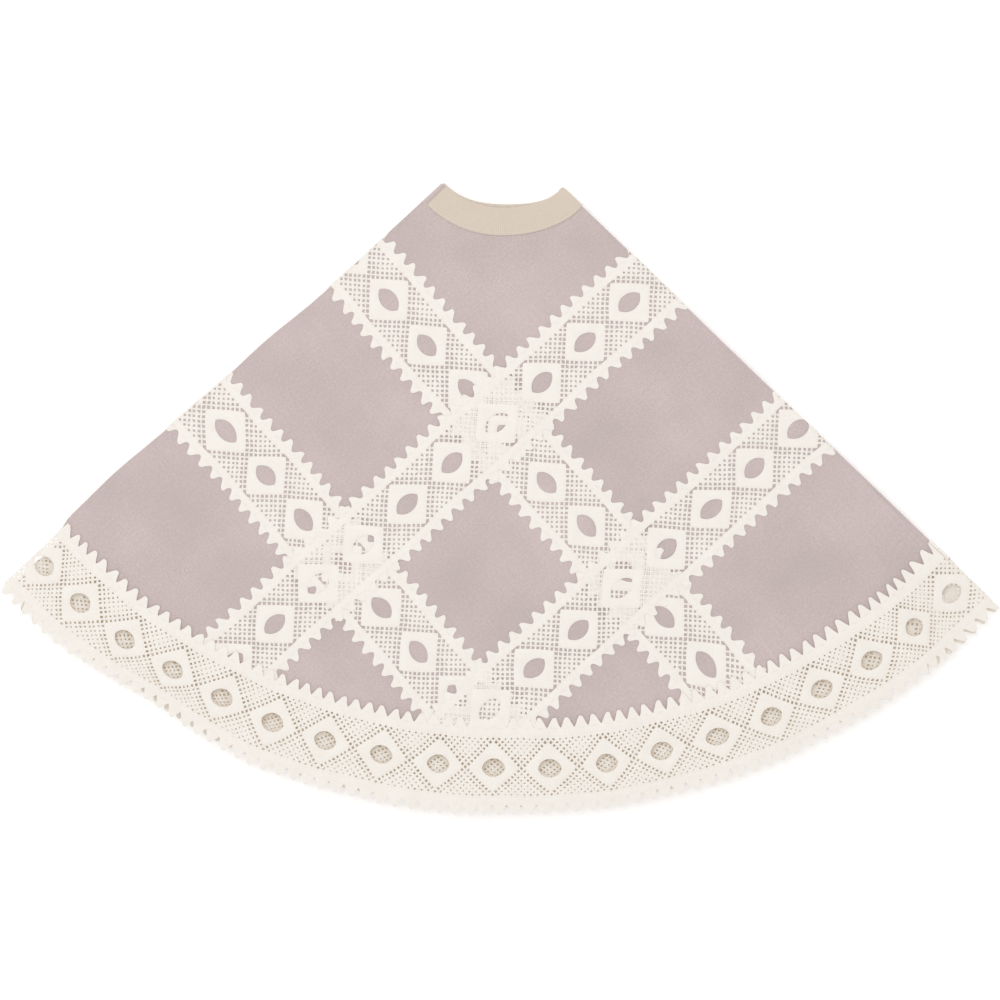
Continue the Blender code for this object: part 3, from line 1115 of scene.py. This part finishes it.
stitch = one_stitch()
for quarter, (start, end) in EDGES.items():
    low = math.radians(start + TAPE_GAP + SEAM_ENDS[0]) * SEAM_RADIUS
    high = math.radians(end - SEAM_ENDS[1]) * SEAM_RADIUS
    count = int((high - low) / STITCH_PITCH)
    mesh = set_out(stitch, count, low, (high - low) / count, sewing_thread)
    reshape(mesh, seam)
    reshape(mesh, relax)
    piece = place(f"{quarter}_neck_stitching", mesh, quarter, sewing_thread)
    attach(piece, f"{quarter}_quarter")

# Hook and loop pads -------------------------------------------------------------------------------
# Three off-white fastening pads along each slit edge: brushed loops on the wrong side of the top
# quarter and stiff fine hooks on the lace side of the bottom one, each with a flat sewn border.

PAD_LENGTH = 0.025
PAD_WIDTH = 0.020
PAD_INSET = 0.003
PAD_BORDER = 0.0018
BORDER_SHARE = 0.35  # of the field's height
LOOP_PAD = (0.0008, -0.0008)  # where it sits and how far it rises, away from the cloth
HOOK_PAD = (SHELL_HEIGHT, 0.0009)


def pad_material(name, tone, scale, strength):
    """A field of fine loops or hooks, with painted shade in its pits."""
    material, tree, surface = new_material(name, 0.85, sheen=0.3)
    places = places_in_mm(tree)
    field = add_node(tree, "ShaderNodeTexVoronoi", {"Vector": places, "Scale": scale}).outputs["Distance"]
    # painted shade: the field is darkened towards #CFCABF in its pits, where the bump is lowest
    shade = mix_colours(tree, field, "#CFCABF", tone)
    tree.links.new(shade, surface.inputs["Base Color"])
    raise_surface(tree, surface, field, strength, 0.0004)
    return material


loops = pad_material("brushed_loop_tape", "#F1EEE6", 1.2, 0.7)
hooks = pad_material("hook_tape", "#F4F2EC", 1.0, 1.0)


def pad_mesh(middle, side, base, rise):
    """A pad with a flat border and a raised field. rise is signed, away from the cloth."""
    steps = 12
    points, faces = [], []
    for i in range(steps + 1):
        for k in range(steps + 1):
            x, y = PAD_LENGTH * i / steps, PAD_WIDTH * k / steps
            inside = min(x, PAD_LENGTH - x, y, PAD_WIDTH - y)
            field = float(smooth(inside / PAD_BORDER))
            z = base + rise * (BORDER_SHARE + (1 - BORDER_SHARE) * field)
            points.append((middle - PAD_LENGTH / 2 + x, side * (PAD_INSET + y), z))
    under = len(points)
    edge = list(range(steps)) + [i * (steps + 1) + steps for i in range(steps)]
    edge += [under - 1 - k for k in range(steps)] + [i * (steps + 1) for i in range(steps, 0, -1)]
    points += [(points[corner][0], points[corner][1], base) for corner in edge]
    for i in range(steps):
        for k in range(steps):
            a = i * (steps + 1) + k
            faces.append((a, a + steps + 1, a + steps + 2, a + 1))
    for k, corner in enumerate(edge):
        following = (k + 1) % len(edge)
        faces.append((corner, edge[following], under + following, under + k))
    faces.append([under + k for k in range(len(edge))][::-1])
    mesh = to_mesh("pad", points, faces)
    face_outward(mesh)
    return mesh


half = BAND_WIDTH / 2
inner_band, outer_band = LOWER_BANDS["inner"][0], LOWER_BANDS["outer"][0]
gaps = {  # the bare cloth between the lace along a slit edge, from and to these radii
    "neck": (NECK_RADIUS + BINDING_WIDTH, inner_band - half),
    "middle": (inner_band + half, outer_band - half),
    "hem": (outer_band + half, HEM_RADIUS - HEM_WIDTH),
}
for quarter, kind, side, (base, rise), material in (
    ("top", "loop", 1, LOOP_PAD, loops),
    ("bottom", "hook", -1, HOOK_PAD, hooks),
):
    for name, (low, high) in gaps.items():
        mesh = pad_mesh((low + high) / 2, side, base, rise)
        reshape(mesh, relax)
        piece = place(f"{quarter}_{kind}_{name}_tape", mesh, quarter, material)
        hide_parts(f"{quarter}_{kind}_pad_{name}")
        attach(piece, f"{quarter}_quarter")
